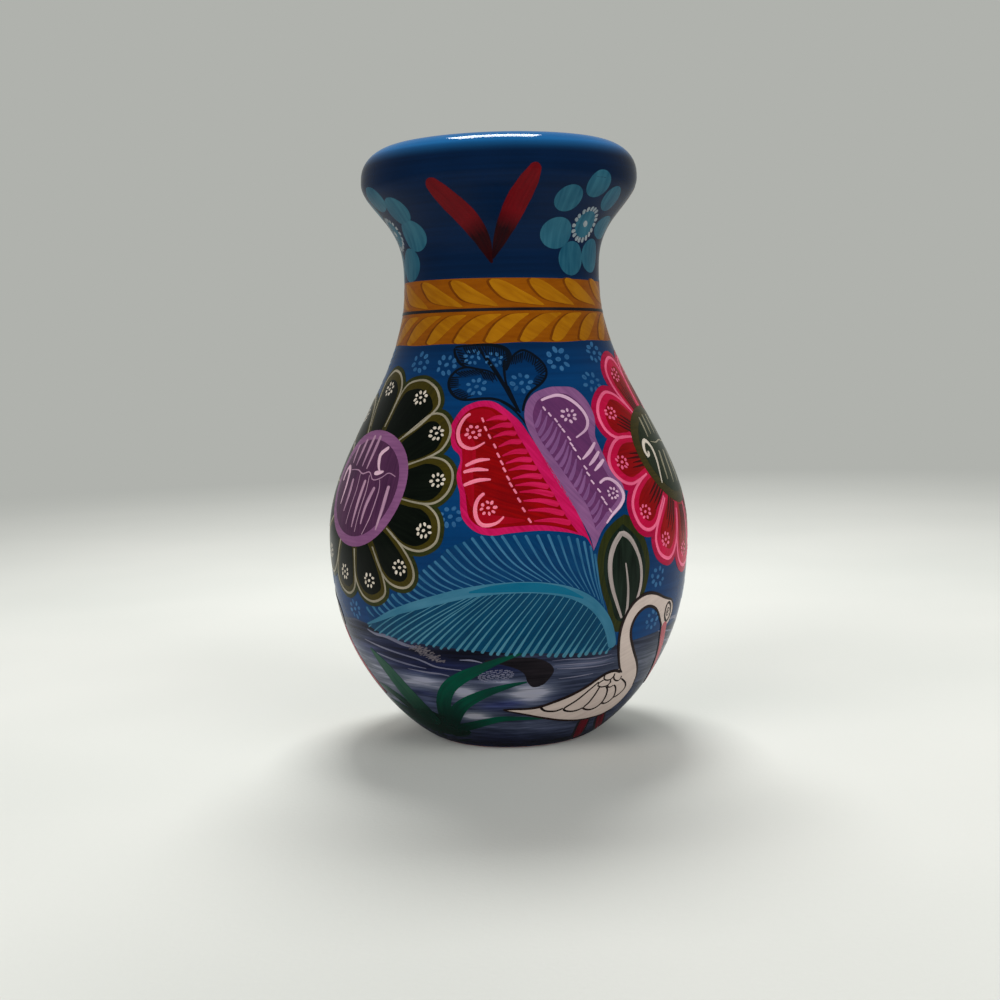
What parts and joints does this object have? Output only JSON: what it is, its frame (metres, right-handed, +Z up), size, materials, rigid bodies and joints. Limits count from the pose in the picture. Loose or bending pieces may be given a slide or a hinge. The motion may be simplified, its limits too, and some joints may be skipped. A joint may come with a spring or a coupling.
{
  "type": "terracotta vase",
  "caption": "Small round-bellied terracotta vase with a short neck and a rolled flared lip, painted and lacquered outside, standing on a flat foot.",
  "frame": {"origin": "middle of the foot, on the surface that the vase stands on", "axes": "+Z up the turning axis to the mouth; -Y towards the viewer of the picture"},
  "size_m": [0.0928, 0.0928, 0.1504],
  "materials": {
    "bare_clay": "bare fired terracotta, matte",
    "slip_clay": "fired slip, matte",
    "blue_paint": "terracotta under brushed deep blue paint and clear gloss lacquer",
    "gold_paint": "terracotta under brushed amber paint and clear gloss lacquer"
  },
  "bodies": {
    "root": {"floor_disc": "bare_clay", "floor_slip": "slip_clay", "lower_bowl": "blue_paint", "belly_slip": "slip_clay", "shoulder_bowl": "blue_paint", "neck_slip": "slip_clay", "neck_collar": "gold_paint", "throat_slip": "slip_clay", "mouth_flare": "blue_paint", "lip_slip_outer": "slip_clay", "lip_slip_inner": "slip_clay", "lip_roll": "blue_paint"}
  },
  "joints": []
}
